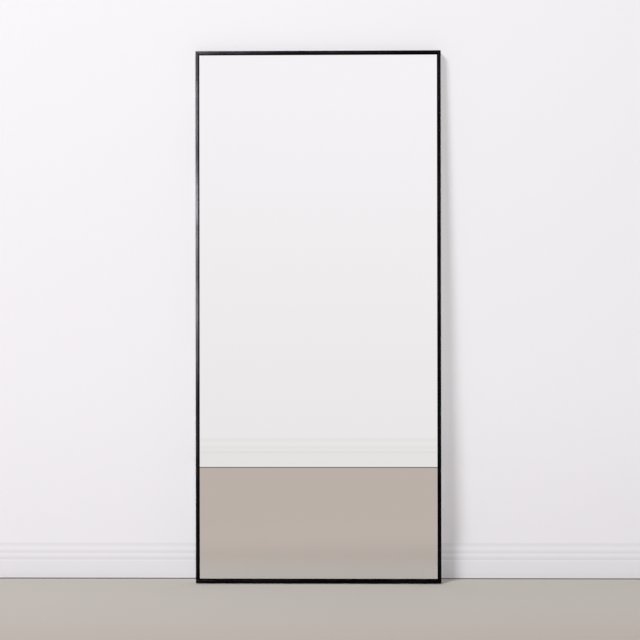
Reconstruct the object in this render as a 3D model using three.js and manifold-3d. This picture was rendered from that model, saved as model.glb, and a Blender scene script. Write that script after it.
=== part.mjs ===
// A tall floor mirror in a slim black aluminium frame, leaning back against a wall.
//
// Everything is in millimetres. The mirror is drawn upright first: X runs across it, Z up it and Y through
// it, with y = 0 on the front face, z = 0 on the bottom edge and x = 0 down the middle. The upright
// assembly is then leaned back about its bottom edge and lifted on its feet, so that the floor is z = 0,
// the wall is the plane behind it, and the origin is under the middle of the whole.

import * as THREE from 'three';
import { mergeVertices } from 'three/addons/utils/BufferGeometryUtils.js';
import Module from 'manifold-3d';

const wasm = await Module();
wasm.setup();

// ---------------------------------------------------------------- overall

const FRAME_WIDTH = 830;
const FRAME_HEIGHT = 1800;
const LEAN_ANGLE = THREE.MathUtils.degToRad(2.2);
const FIT_GAP = 0.3; // between pieces that touch
const CUT_OVERRUN = 1; // how far a cutting tool runs past the face it cuts
const WELD_DISTANCE = 1e-4; // corners nearer than this are one

// ---------------------------------------------------------------- frame rails

const RAIL_FACE = 12; // width of the front face
const RAIL_WALL = 1.4;
const RAIL_EDGE_CHAMFER = 0.4;
const BEAD_DEPTH = 7; // hollow front bead; the pane sits behind it
const CHANNEL_DEPTH = 5.5; // inside depth of the rear channel
const SLOT_WIDTH = 5; // opening between the channel's two lips

// ---------------------------------------------------------------- what the frame holds

const SETTING_BLOCK_THICKNESS = 1;
const SETTING_BLOCK_LENGTH = 60;
const SETTING_BLOCK_FROM_SIDE = 165; // from the frame's side to the block's middle
const GASKET_THICKNESS = 1;
const GASKET_SETBACK = 1; // from the rail's inner edge
const GLASS_THICKNESS = 4;
const FILM_THICKNESS = 0.4;
const FOAM_THICKNESS = 1.2;
const BOARD_THICKNESS = 3;

// ---------------------------------------------------------------- braces

const BRACE_HEIGHT = 50;
const BRACE_THICKNESS = 3;
const BRACE_FROM_END = 370; // from the frame's top or bottom to the brace's middle

// ---------------------------------------------------------------- spring clips

const CLIP_LENGTH = 62;
const CLIP_WIDTH = 8;
const CLIP_STEEL = 0.5;
const CLIP_STEPS = 12;
const SIDE_CLIP_FROM_END = 170; // the outer ones; a third is at half height
const END_CLIP_FROM_SIDE = 215;

// ---------------------------------------------------------------- corner keys and their set screws

const KEY_LEG = 52;
const KEY_THICKNESS = 3;
const SET_SCREW_RADIUS = 2;
const SET_SCREW_LENGTH = 4.8;
const SET_SCREW_ALONG_LEG = 38; // from the frame's corner
const SOCKET_RADIUS = 1.15;
const SOCKET_DEPTH = 2;

// ---------------------------------------------------------------- pan-head screws

const SCREW_RADIUS = 2;
const SCREW_HEAD_RADIUS = 3.6;
const SCREW_HEAD_HEIGHT = 2.2;
const SCREW_HEAD_EDGE = 1; // straight side of the head, below its crown
const SCREW_CROWN_STEPS = 3;
const SCREW_TIP_CHAMFER = 0.6;
const SCREW_SIDES = 16;
const RECESS_WIDTH = 0.9;
const RECESS_SPAN = 4.2;
const RECESS_DEPTH = 1.2;
const HOLE_RADIUS = SCREW_RADIUS + FIT_GAP;

// ---------------------------------------------------------------- D-ring hangers

const HANGER_FROM_SIDE = 115;
const HANGER_BAR_BELOW_BRACE_TOP = 6;
const PLATE_WIDTH = 14;
const PLATE_LENGTH = 40; // from the ring's bar down to the plate's foot
const PLATE_STEEL = 1.2;
const PLATE_CORNER = 3;
const PLATE_SCREWS_BELOW_BAR = [25, 34.5];
const CURL_END_ANGLE = THREE.MathUtils.degToRad(200);
const CURL_STEPS = 14;
const RING_WIRE_RADIUS = 1.5;
const RING_HALF_WIDTH = 11.5; // to the middle of the wire, as all the ring's sizes
const RING_ARM = 6; // straight part of the sides, from the bar down
const RING_CORNER = 3;
const RING_STEPS = 56;
const RING_SIDES = 8;

// ---------------------------------------------------------------- feet and wall bumpers

const FOOT_LENGTH = 60;
const FOOT_FRONT = 4; // behind the front face
const FOOT_DEPTH = 22;
const FOOT_THICKNESS = 2; // at its thin rear edge
const FOOT_FROM_SIDE = 80;
const BUMPER_LENGTH = 30;
const BUMPER_MARGIN = 0.6; // from the rail's edges
const BUMPER_THICKNESS = 3; // at its thin upper edge
const BUMPER_STEM_DEPTH = 3;
const BUMPER_FROM_SIDE = 95;

// ---------------------------------------------------------------- depths, front to back

const gasketFront = BEAD_DEPTH + FIT_GAP;
const glassFront = gasketFront + GASKET_THICKNESS + FIT_GAP;
const filmFront = glassFront + GLASS_THICKNESS + FIT_GAP;
const foamFront = filmFront + FILM_THICKNESS + FIT_GAP;
const boardFront = foamFront + FOAM_THICKNESS + FIT_GAP;
const boardBack = boardFront + BOARD_THICKNESS;
const braceFront = boardBack + FIT_GAP;
const braceBack = braceFront + BRACE_THICKNESS;
const flangeFront = braceBack + FIT_GAP;
const channelFloor = flangeFront + RAIL_WALL;
const lipFront = channelFloor + CHANNEL_DEPTH;
const frameBack = lipFront + RAIL_WALL;

const halfWidth = FRAME_WIDTH / 2;

// The pane and the layers behind it stop this far inside the frame's outer edges.
const paneInset = RAIL_WALL + FIT_GAP + SETTING_BLOCK_THICKNESS + FIT_GAP;
const paneWidth = FRAME_WIDTH - 2 * paneInset;
const paneHeight = FRAME_HEIGHT - 2 * paneInset;
const slotMiddle = RAIL_FACE / 2;
const lowerBraceZ = BRACE_FROM_END;
const upperBraceZ = FRAME_HEIGHT - BRACE_FROM_END;

// ---------------------------------------------------------------- the floor and the wall

// The upright drawing is lifted by this much once it leans, which leaves the feet their thickness.
const footBack = FOOT_FRONT + FOOT_DEPTH;
const lift = (FOOT_THICKNESS + FIT_GAP) * Math.cos(LEAN_ANGLE) + footBack * Math.sin(LEAN_ANGLE);

/** Height of the floor in the upright drawing, at a depth behind the front face. */
function floorAt(depth) {
  return depth * Math.tan(LEAN_ANGLE) - lift / Math.cos(LEAN_ANGLE);
}

// The wall touches the top bumpers, which are thinnest at their upper edge.
const bumperTop = FRAME_HEIGHT - BUMPER_MARGIN;
const bumperFront = frameBack + FIT_GAP;
const wallDepthAtTop = bumperFront + BUMPER_THICKNESS;

/** Depth of the wall in the upright drawing, at a height on the mirror. */
function wallAt(height) {
  return wallDepthAtTop + (bumperTop - height) * Math.tan(LEAN_ANGLE);
}

const wholeDepth = wallDepthAtTop * Math.cos(LEAN_ANGLE) + bumperTop * Math.sin(LEAN_ANGLE);

// ---------------------------------------------------------------- finishes

const blackAluminium = { color: 0x0c0c0d, roughness: 0.38, metalness: 0.9 };
const silveredGlass = { color: 0xe6eaea, roughness: 0.02, metalness: 1 };
const greyFilm = { color: 0x7d8285, roughness: 0.6, metalness: 0 };
const blackRubber = { color: 0x141414, roughness: 0.85, metalness: 0 };
const whiteFoam = { color: 0xdfe0dc, roughness: 0.95, metalness: 0 };
const hardboard = { color: 0x6d4c33, roughness: 0.8, metalness: 0 };
const millAluminium = { color: 0xb4b6b8, roughness: 0.42, metalness: 1 };
const zincSteel = { color: 0xa9acab, roughness: 0.35, metalness: 1 };
const springSteel = { color: 0x5b6068, roughness: 0.3, metalness: 1 };
const darkSteel = { color: 0x2b2c2e, roughness: 0.4, metalness: 1 };

// ---------------------------------------------------------------- helpers

const mirror = new THREE.Group();

/** Adds one named piece to the upright mirror, turned about the depth axis and then put in its place. */
function addPiece(name, geometry, finish, position = [0, 0, 0], turnAboutY = 0) {
  const piece = new THREE.Mesh(geometry, new THREE.MeshStandardMaterial(finish));
  piece.name = name;
  piece.position.set(...position);
  piece.rotation.y = turnAboutY;
  mirror.add(piece);
  return piece;
}

/** A closed outline from [a, b] points. */
function outline(points) {
  return new THREE.Shape(points.map(([a, b]) => new THREE.Vector2(a, b)));
}

/** A plate standing in the XZ plane: the shape's x and y become X and Z, and it is thick from y = 0 back. */
function plate(shape, thickness) {
  const geometry = new THREE.ExtrudeGeometry(shape, { depth: thickness, bevelEnabled: false });
  return geometry.rotateX(Math.PI / 2).translate(0, thickness, 0);
}

/** A bar along X with a section given as [depth, height] points, centred on x = 0. */
function barAlongX(section, length) {
  const geometry = new THREE.ExtrudeGeometry(outline(section), { depth: length, bevelEnabled: false });
  const alongX = new THREE.Matrix4().makeBasis(
    new THREE.Vector3(0, 1, 0),
    new THREE.Vector3(0, 0, 1),
    new THREE.Vector3(1, 0, 0),
  );
  return geometry.applyMatrix4(alongX).translate(-length / 2, 0, 0);
}

/** A plain block from its least corner. */
function block(width, depth, height) {
  return new THREE.BoxGeometry(width, depth, height).translate(width / 2, depth / 2, height / 2);
}

/** A round hole to drill through in Y, centred on (x, z). */
function drill(radius, x, z, front, back) {
  const length = back - front + 2 * CUT_OVERRUN;
  return new THREE.CylinderGeometry(radius, radius, length, SCREW_SIDES)
    .translate(x, (front + back) / 2, z);
}

/** The closed solid that a three.js geometry bounds. */
function toSolid(geometry) {
  const bare = geometry.clone();
  bare.deleteAttribute('normal');
  bare.deleteAttribute('uv');
  const welded = mergeVertices(bare, WELD_DISTANCE);
  return new wasm.Manifold(new wasm.Mesh({
    numProp: 3,
    vertProperties: new Float32Array(welded.attributes.position.array),
    triVerts: new Uint32Array(welded.index.array),
  }));
}

/** The three.js geometry of a solid, with flat faces. */
function toGeometry(solid) {
  const mesh = solid.getMesh();
  const geometry = new THREE.BufferGeometry();
  geometry.setAttribute('position', new THREE.BufferAttribute(new Float32Array(mesh.vertProperties), 3));
  geometry.setIndex(new THREE.BufferAttribute(new Uint32Array(mesh.triVerts), 1));
  const flat = geometry.toNonIndexed();
  flat.computeVertexNormals();
  return flat;
}

/** A geometry with others cut out of it. */
function cutOut(geometry, tools) {
  let solid = toSolid(geometry);
  for (const tool of tools) {
    solid = solid.subtract(toSolid(tool));
  }
  return toGeometry(solid);
}

// ---------------------------------------------------------------- frame rails

/**
 * One rail of the frame, upright, with its outer face on x = 0 and its inner edge on x = RAIL_FACE. Its
 * section is a hollow front bead, an open rebate for the pane, and a channel that is open to the back.
 */
function rail(length) {
  const inside = RAIL_FACE - RAIL_WALL;
  const slotNear = slotMiddle - SLOT_WIDTH / 2;
  const slotFar = slotMiddle + SLOT_WIDTH / 2;
  const section = outline([
    [0, RAIL_EDGE_CHAMFER],
    [RAIL_EDGE_CHAMFER, 0],
    [RAIL_FACE - RAIL_EDGE_CHAMFER, 0],
    [RAIL_FACE, RAIL_EDGE_CHAMFER],
    [RAIL_FACE, BEAD_DEPTH],
    [RAIL_WALL, BEAD_DEPTH],
    [RAIL_WALL, flangeFront],
    [RAIL_FACE, flangeFront],
    [RAIL_FACE, frameBack],
    [slotFar, frameBack],
    [slotFar, lipFront],
    [inside, lipFront],
    [inside, channelFloor],
    [RAIL_WALL, channelFloor],
    [RAIL_WALL, lipFront],
    [slotNear, lipFront],
    [slotNear, frameBack],
    [RAIL_EDGE_CHAMFER, frameBack],
    [0, frameBack - RAIL_EDGE_CHAMFER],
  ]);
  section.holes.push(outline([
    [RAIL_WALL, RAIL_WALL],
    [RAIL_WALL, BEAD_DEPTH - RAIL_WALL],
    [inside, BEAD_DEPTH - RAIL_WALL],
    [inside, RAIL_WALL],
  ]));
  const geometry = new THREE.ExtrudeGeometry(section, { depth: length, bevelEnabled: false });
  mitreEnds(geometry, length);
  return geometry;
}

/** Slopes a rail's square ends at 45 degrees, each half a fit gap short of the corner's diagonal. */
function mitreEnds(geometry, length) {
  const shortening = FIT_GAP / Math.SQRT2;
  const position = geometry.attributes.position;
  for (let i = 0; i < position.count; i += 1) {
    const cut = position.getX(i) + shortening;
    const atStart = position.getZ(i) < length / 2;
    position.setZ(i, atStart ? cut : length - cut);
  }
}

/** A side rail with the holes in its channel floor for the brace screws, at heights from its start. */
function sideRail(holeHeights) {
  const drills = holeHeights.map((z) => drill(HOLE_RADIUS, slotMiddle, z, flangeFront, channelFloor));
  return cutOut(rail(FRAME_HEIGHT), drills);
}

const braceHeights = [lowerBraceZ, upperBraceZ];
const braceHeightsFromTop = braceHeights.map((z) => FRAME_HEIGHT - z);

addPiece('rail_left', sideRail(braceHeights), blackAluminium, [-halfWidth, 0, 0]);
addPiece('rail_right', sideRail(braceHeightsFromTop), blackAluminium, [halfWidth, 0, FRAME_HEIGHT], Math.PI);
addPiece('rail_top', rail(FRAME_WIDTH), blackAluminium, [-halfWidth, 0, FRAME_HEIGHT], Math.PI / 2);
addPiece('rail_bottom', rail(FRAME_WIDTH), blackAluminium, [halfWidth, 0, 0], -Math.PI / 2);

// ---------------------------------------------------------------- pane and layers behind it

/** A sheet as wide and high as the pane. */
function addSheet(name, front, thickness, finish) {
  addPiece(name, block(paneWidth, thickness, paneHeight), finish, [-paneWidth / 2, front, paneInset]);
}

addSheet('mirror_glass', glassFront, GLASS_THICKNESS, silveredGlass);
addSheet('safety_film', filmFront, FILM_THICKNESS, greyFilm);
addSheet('foam_sheet', foamFront, FOAM_THICKNESS, whiteFoam);
addSheet('backing_board', boardFront, BOARD_THICKNESS, hardboard);

// The gasket lies between the bead and the pane. Its side strips run full height.
const gasketWidth = RAIL_FACE - GASKET_SETBACK - paneInset;
const endStripLength = paneWidth - 2 * (gasketWidth + FIT_GAP);
const sideStrip = block(gasketWidth, GASKET_THICKNESS, paneHeight);
const endStrip = block(endStripLength, GASKET_THICKNESS, gasketWidth);
const topStripZ = paneInset + paneHeight - gasketWidth;
addPiece('gasket_left', sideStrip, blackRubber, [-paneWidth / 2, gasketFront, paneInset]);
addPiece('gasket_right', sideStrip, blackRubber, [paneWidth / 2 - gasketWidth, gasketFront, paneInset]);
addPiece('gasket_bottom', endStrip, blackRubber, [-endStripLength / 2, gasketFront, paneInset]);
addPiece('gasket_top', endStrip, blackRubber, [-endStripLength / 2, gasketFront, topStripZ]);

// The setting blocks carry the pane and the layers behind it on the bottom rail.
const settingBlock = block(SETTING_BLOCK_LENGTH, boardBack - glassFront, SETTING_BLOCK_THICKNESS);
for (const [side, sign] of [['left', -1], ['right', 1]]) {
  const x = sign * (halfWidth - SETTING_BLOCK_FROM_SIDE) - SETTING_BLOCK_LENGTH / 2;
  addPiece(`setting_block_${side}`, settingBlock, blackRubber, [x, glassFront, RAIL_WALL + FIT_GAP]);
}

// ---------------------------------------------------------------- spring clips

/** A bowed leaf spring along Z, whose ends press on the board and whose middle presses on the rail. */
function springClip() {
  const rise = flangeFront - FIT_GAP - braceFront - CLIP_STEEL;
  const front = [];
  const back = [];
  for (let i = 0; i <= CLIP_STEPS; i += 1) {
    const along = (i / CLIP_STEPS - 0.5) * CLIP_LENGTH;
    const bow = rise * (1 - (2 * along / CLIP_LENGTH) ** 2);
    front.push([bow, along]);
    back.push([bow + CLIP_STEEL, along]);
  }
  return barAlongX([...back, ...front.reverse()], CLIP_WIDTH);
}

const clip = springClip();
const clipFromEdge = paneInset + CLIP_WIDTH / 2;
const sideClipHeights = [SIDE_CLIP_FROM_END, FRAME_HEIGHT / 2, FRAME_HEIGHT - SIDE_CLIP_FROM_END];
for (const [side, sign] of [['left', -1], ['right', 1]]) {
  const x = sign * (halfWidth - clipFromEdge);
  sideClipHeights.forEach((z, i) => {
    addPiece(`spring_clip_${side}_${i + 1}`, clip, springSteel, [x, braceFront, z]);
  });
  const endX = sign * (halfWidth - END_CLIP_FROM_SIDE);
  const ends = [['bottom', clipFromEdge], ['top', FRAME_HEIGHT - clipFromEdge]];
  for (const [end, z] of ends) {
    addPiece(`spring_clip_${end}_${side}`, clip, springSteel, [endX, braceFront, z], Math.PI / 2);
  }
}

// ---------------------------------------------------------------- corner keys

/** An L-shaped key for the bottom left corner, with the frame's corner at the origin. */
function cornerKey() {
  const near = RAIL_WALL + FIT_GAP;
  const far = RAIL_FACE - RAIL_WALL - FIT_GAP;
  const shape = outline([
    [near, near],
    [KEY_LEG, near],
    [KEY_LEG, far],
    [far, far],
    [far, KEY_LEG],
    [near, KEY_LEG],
  ]);
  const drills = [
    drill(SET_SCREW_RADIUS + FIT_GAP, SET_SCREW_ALONG_LEG, slotMiddle, 0, KEY_THICKNESS),
    drill(SET_SCREW_RADIUS + FIT_GAP, slotMiddle, SET_SCREW_ALONG_LEG, 0, KEY_THICKNESS),
  ];
  return cutOut(plate(shape, KEY_THICKNESS), drills);
}

/** A headless set screw with a hexagon socket in its rear end. */
function setScrew() {
  const body = new THREE.CylinderGeometry(SET_SCREW_RADIUS, SET_SCREW_RADIUS, SET_SCREW_LENGTH, SCREW_SIDES)
    .translate(0, SET_SCREW_LENGTH / 2, 0);
  const socket = new THREE.CylinderGeometry(SOCKET_RADIUS, SOCKET_RADIUS, SOCKET_DEPTH + CUT_OVERRUN, 6)
    .translate(0, SET_SCREW_LENGTH - SOCKET_DEPTH + (SOCKET_DEPTH + CUT_OVERRUN) / 2, 0);
  return cutOut(body, [socket]);
}

const key = cornerKey();
const grubScrew = setScrew();
const keyFront = lipFront - FIT_GAP - KEY_THICKNESS;
const corners = [
  ['bottom_left', -1, 0, 0],
  ['top_left', -1, FRAME_HEIGHT, Math.PI / 2],
  ['top_right', 1, FRAME_HEIGHT, Math.PI],
  ['bottom_right', 1, 0, -Math.PI / 2],
];
for (const [corner, sign, cornerZ, turn] of corners) {
  addPiece(`corner_key_${corner}`, key, zincSteel, [sign * halfWidth, keyFront, cornerZ], turn);
  const inwardX = -sign;
  const inwardZ = cornerZ === 0 ? 1 : -1;
  const screwPlaces = [
    ['side', slotMiddle, SET_SCREW_ALONG_LEG],
    ['end', SET_SCREW_ALONG_LEG, slotMiddle],
  ];
  for (const [leg, along, up] of screwPlaces) {
    const place = [sign * halfWidth + inwardX * along, channelFloor + FIT_GAP, cornerZ + inwardZ * up];
    addPiece(`corner_screw_${corner}_${leg}`, grubScrew, darkSteel, place);
  }
}

// ---------------------------------------------------------------- pan-head screws

/** A pan-head screw along Y. The underside of its head is on y = 0, and its shank points forward. */
function panHeadScrew(shankLength) {
  const profile = [
    [0, -shankLength],
    [SCREW_RADIUS - SCREW_TIP_CHAMFER, -shankLength],
    [SCREW_RADIUS, -shankLength + SCREW_TIP_CHAMFER],
    [SCREW_RADIUS, 0],
    [SCREW_HEAD_RADIUS, 0],
  ];
  for (let i = 0; i < SCREW_CROWN_STEPS; i += 1) {
    const angle = (i / SCREW_CROWN_STEPS) * (Math.PI / 2);
    const crown = (SCREW_HEAD_HEIGHT - SCREW_HEAD_EDGE) * Math.sin(angle);
    profile.push([SCREW_HEAD_RADIUS * Math.cos(angle), SCREW_HEAD_EDGE + crown]);
  }
  profile.push([0, SCREW_HEAD_HEIGHT]);
  const body = new THREE.LatheGeometry(profile.map(([r, y]) => new THREE.Vector2(r, y)), SCREW_SIDES);
  const recessY = SCREW_HEAD_HEIGHT - RECESS_DEPTH + (RECESS_DEPTH + CUT_OVERRUN) / 2;
  const slots = [[RECESS_SPAN, RECESS_WIDTH], [RECESS_WIDTH, RECESS_SPAN]].map(([width, height]) => (
    new THREE.BoxGeometry(width, RECESS_DEPTH + CUT_OVERRUN, height).translate(0, recessY, 0)
  ));
  return cutOut(body, slots);
}

// ---------------------------------------------------------------- braces

const hangerX = halfWidth - HANGER_FROM_SIDE;
const hangerBarZ = upperBraceZ + BRACE_HEIGHT / 2 - HANGER_BAR_BELOW_BRACE_TOP;
const hangerHoles = [];
for (const x of [-hangerX, hangerX]) {
  for (const below of PLATE_SCREWS_BELOW_BAR) {
    hangerHoles.push([x, hangerBarZ - below]);
  }
}

/** A flat bar across the back, tucked under both side rails' channels, drilled at its ends and in holes. */
function brace(middleZ, extraHoles) {
  const half = paneWidth / 2;
  const shape = outline([
    [-half, -BRACE_HEIGHT / 2],
    [half, -BRACE_HEIGHT / 2],
    [half, BRACE_HEIGHT / 2],
    [-half, BRACE_HEIGHT / 2],
  ]);
  const endX = halfWidth - slotMiddle;
  const places = [[-endX, middleZ], [endX, middleZ], ...extraHoles];
  const drills = places.map(([x, z]) => drill(HOLE_RADIUS, x, z - middleZ, 0, BRACE_THICKNESS));
  return cutOut(plate(shape, BRACE_THICKNESS), drills);
}

addPiece('back_brace_upper', brace(upperBraceZ, hangerHoles), millAluminium, [0, braceFront, upperBraceZ]);
addPiece('back_brace_lower', brace(lowerBraceZ, []), millAluminium, [0, braceFront, lowerBraceZ]);

const braceScrewSeat = channelFloor + FIT_GAP;
const braceScrew = panHeadScrew(braceScrewSeat - braceFront - FIT_GAP);
for (const [level, z] of [['upper', upperBraceZ], ['lower', lowerBraceZ]]) {
  for (const [side, sign] of [['left', -1], ['right', 1]]) {
    const x = sign * (halfWidth - slotMiddle);
    addPiece(`brace_screw_${level}_${side}`, braceScrew, zincSteel, [x, braceScrewSeat, z]);
  }
}

// ---------------------------------------------------------------- D-ring hangers

const plateFront = braceBack + FIT_GAP;
const curlInside = RING_WIRE_RADIUS + FIT_GAP;
const curlOutside = curlInside + PLATE_STEEL;
const barDepth = plateFront + curlOutside;

/** The hanger's strap, screwed flat to the brace, with its upper end curled round the ring's bar. */
function hangerPlate() {
  const arc = (radius, index) => {
    const angle = -Math.PI / 2 + (index / CURL_STEPS) * (CURL_END_ANGLE + Math.PI / 2);
    return [curlOutside + radius * Math.sin(angle), radius * Math.cos(angle)];
  };
  const outer = [];
  const inner = [];
  for (let i = 0; i <= CURL_STEPS; i += 1) {
    outer.push(arc(curlOutside, i));
    inner.push(arc(curlInside, i));
  }
  const section = [[0, -PLATE_LENGTH], ...outer, ...inner.reverse(), [PLATE_STEEL, -PLATE_LENGTH]];
  const drills = PLATE_SCREWS_BELOW_BAR.map((below) => drill(HOLE_RADIUS, 0, -below, 0, PLATE_STEEL));
  const corner = outline([[0, 0], [PLATE_CORNER, 0], [0, PLATE_CORNER]]);
  const cornerCut = plate(corner, PLATE_STEEL + 2 * CUT_OVERRUN).translate(0, -CUT_OVERRUN, 0);
  const rightCut = cornerCut.clone().rotateY(-Math.PI / 2).translate(PLATE_WIDTH / 2, 0, -PLATE_LENGTH);
  const leftCut = cornerCut.translate(-PLATE_WIDTH / 2, 0, -PLATE_LENGTH);
  return cutOut(barAlongX(section, PLATE_WIDTH), [...drills, leftCut, rightCut]);
}

/** The middle line of a D-ring that hangs from a straight bar along X. */
class RingLine extends THREE.Curve {
  constructor() {
    super();
    const bend = RING_HALF_WIDTH - RING_CORNER;
    this.path = new THREE.Path();
    this.path.moveTo(0, 0);
    this.path.lineTo(bend, 0);
    this.path.absarc(bend, -RING_CORNER, RING_CORNER, Math.PI / 2, 0, true);
    this.path.lineTo(RING_HALF_WIDTH, -RING_ARM);
    this.path.absarc(0, -RING_ARM, RING_HALF_WIDTH, 0, -Math.PI, true);
    this.path.lineTo(-RING_HALF_WIDTH, -RING_CORNER);
    this.path.absarc(-bend, -RING_CORNER, RING_CORNER, Math.PI, Math.PI / 2, true);
    this.path.lineTo(0, 0);
  }

  getPoint(t, target = new THREE.Vector3()) {
    const point = this.path.getPoint(t);
    return target.set(point.x, 0, point.y);
  }
}

const strap = hangerPlate();
const ring = new THREE.TubeGeometry(new RingLine(), RING_STEPS, RING_WIRE_RADIUS, RING_SIDES, true);
const plateScrewSeat = plateFront + PLATE_STEEL + FIT_GAP;
const plateScrew = panHeadScrew(plateScrewSeat - braceFront - FIT_GAP);
for (const [side, sign] of [['left', -1], ['right', 1]]) {
  const x = sign * hangerX;
  addPiece(`hanger_plate_${side}`, strap, zincSteel, [x, plateFront, hangerBarZ]);
  // The ring hangs plumb, so it is turned back by the mirror's lean.
  addPiece(`hanger_ring_${side}`, ring, zincSteel, [x, barDepth, hangerBarZ]).rotation.x = LEAN_ANGLE;
  PLATE_SCREWS_BELOW_BAR.forEach((below, i) => {
    const place = [x, plateScrewSeat, hangerBarZ - below];
    addPiece(`hanger_screw_${side}_${i + 1}`, plateScrew, zincSteel, place);
  });
}

// ---------------------------------------------------------------- feet

// A foot's sole is cut level with the floor, so that all of it bears once the mirror leans.
const foot = barAlongX([
  [FOOT_FRONT, floorAt(FOOT_FRONT)],
  [footBack, floorAt(footBack)],
  [footBack, -FIT_GAP],
  [FOOT_FRONT, -FIT_GAP],
], FOOT_LENGTH);
for (const [side, sign] of [['left', -1], ['right', 1]]) {
  addPiece(`foot_${side}`, foot, blackRubber, [sign * (halfWidth - FOOT_FROM_SIDE), 0, 0]);
}

// ---------------------------------------------------------------- wall bumpers

/** A pad on a rail's back, with a stem that plugs into the slot, from its low and high face depths. */
function wallBumper(middleZ, depthAtLow, depthAtHigh) {
  const halfPad = RAIL_FACE / 2 - BUMPER_MARGIN;
  const halfStem = SLOT_WIDTH / 2 - FIT_GAP;
  const stemFront = bumperFront - BUMPER_STEM_DEPTH;
  const section = [
    [stemFront, middleZ - halfStem],
    [bumperFront, middleZ - halfStem],
    [bumperFront, middleZ - halfPad],
    [depthAtLow, middleZ - halfPad],
    [depthAtHigh, middleZ + halfPad],
    [bumperFront, middleZ + halfPad],
    [bumperFront, middleZ + halfStem],
    [stemFront, middleZ + halfStem],
  ];
  return barAlongX(section, BUMPER_LENGTH);
}

// The top pair's faces are plumb against the wall. The bottom pair's, which only meet a wall when the
// mirror hangs, are flat to the back.
const topBumper = wallBumper(
  FRAME_HEIGHT - RAIL_FACE / 2,
  wallAt(FRAME_HEIGHT - RAIL_FACE + BUMPER_MARGIN),
  wallAt(bumperTop),
);
const bottomBumper = wallBumper(RAIL_FACE / 2, wallDepthAtTop, wallDepthAtTop);
for (const [side, sign] of [['left', -1], ['right', 1]]) {
  const place = [sign * (halfWidth - BUMPER_FROM_SIDE), 0, 0];
  addPiece(`wall_bumper_top_${side}`, topBumper, blackRubber, place);
  addPiece(`wall_bumper_bottom_${side}`, bottomBumper, blackRubber, place);
}

// ---------------------------------------------------------------- stand it on the floor

mirror.rotation.x = -LEAN_ANGLE;
mirror.position.set(0, -wholeDepth / 2, lift);

const part = new THREE.Group();
part.add(mirror);
part.updateMatrixWorld(true);

export default part;
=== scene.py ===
import math

import bmesh
import bpy
from bpy.props import FloatProperty, FloatVectorProperty, PointerProperty
from mathutils import Matrix, Vector


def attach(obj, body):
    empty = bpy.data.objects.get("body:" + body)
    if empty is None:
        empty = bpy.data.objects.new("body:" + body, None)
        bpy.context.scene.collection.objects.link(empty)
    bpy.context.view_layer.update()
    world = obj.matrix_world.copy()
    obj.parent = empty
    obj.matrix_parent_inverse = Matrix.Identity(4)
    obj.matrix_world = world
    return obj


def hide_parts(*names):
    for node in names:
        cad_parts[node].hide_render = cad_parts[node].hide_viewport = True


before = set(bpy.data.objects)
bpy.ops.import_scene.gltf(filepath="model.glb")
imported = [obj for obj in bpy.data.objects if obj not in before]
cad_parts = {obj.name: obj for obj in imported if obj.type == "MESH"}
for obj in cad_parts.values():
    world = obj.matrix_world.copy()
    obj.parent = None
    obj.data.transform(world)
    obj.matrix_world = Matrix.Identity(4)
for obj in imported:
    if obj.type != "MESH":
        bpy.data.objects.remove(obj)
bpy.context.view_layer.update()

bl_info = {
    "name": "Leaning floor mirror",
    "version": (1, 0, 0),
    "blender": (4, 5, 0),
    "location": "View3D > Sidebar > Floor mirror",
    "description": "Finished pieces, materials and stage of a leaning floor mirror in a black rail frame",
    "category": "Add Mesh",
}

# Sizes are in millimetres in the upright drawing: X across, Y back from the front face, Z up from the
# bottom edge. The upright mirror is then leaned back about its bottom edge and lifted on to its feet.
MM = 0.001
HALF_WIDTH = 415.0
HEIGHT = 1800.0
LEAN = math.radians(2.2)
STAND_BACK = 51.1752
LIFT = 3.2964
STANDING = Matrix.Translation((0, -STAND_BACK * MM, LIFT * MM)) @ Matrix.Rotation(-LEAN, 4, "X")
UPRIGHT = STANDING.inverted()
TURN = STANDING.to_3x3()
TURN_BACK = TURN.inverted()
FLAT = 0.999  # a face whose normal has so large a part lies square to the drawing

SIDES = {"left": -1, "right": 1}
FRAME_SIDES = (*SIDES, "top", "bottom")
FIT_GAP = 0.3
RAIL_FACE = 12.0
BOARD_BACK = 18.1
PIECE_FRONT = BOARD_BACK + FIT_GAP  # the braces' and clips' front
CHANNEL_FLOOR = 23.1
BRACE_HEIGHTS = {"lower": 370.0, "upper": 1430.0}
BAR_HEIGHT = 1449.0
HANGER_X = 300.0
PLATE_FRONT = 21.7
PLATE_STEEL = 1.2
CURL_RADIUS = 2.4  # to the middle of the strap's steel
BAR_BEHIND_PLATE = 3.0  # from the strap's front to the middle of the ring's bar
BAR_DEPTH = PLATE_FRONT + BAR_BEHIND_PLATE
PLATE_SCREWS_BELOW_BAR = (25.0, 34.5)
WALL_DEPTH = STAND_BACK  # the wall's face, behind the middle of the whole
CLIP_INSET = 7.0  # from the outside to the middle of a spring clip
CLIP_FROM_END = 170.0
CLIP_X = 200.0
FOOT_INSET = 80.0
BUMPER_INSET = 95.0

GASKET_EDGE = 0.3
BLOCK_EDGE = 0.25
CUT_EDGE = 0.15  # radius on the edges of grooves cut into rubber
SMOOTH_ANGLE = 32  # degrees; faces that meet at less are shaded as one surface
MERGE_WITHIN = 0.002  # corners nearer than this are made one
SLIVER = 0.01  # eased edges leave no face narrower than this
COPLANAR = 0.3  # degrees; faces that meet at less are made one
NEAR = 0.5  # what lies this near a face or an end belongs to it
FACE_STEP = 8.0  # from the outside to the fine step along the rails' faces
LIP_SHINE = 0.33  # gloss of the lip inside the step against that of the face outside it
SIDE_SHINE = 9.0  # gloss of the rails' sides and back, against that of the same face
# (share of the pitch, share of the depth) at each corner of one thread
THREAD_SHAPE = ((0.0, 0.0), (0.12, 0.0), (0.5, 1.0), (0.62, 1.0))


# ---------------------------------------------------------------- sizes and colours to change

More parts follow.
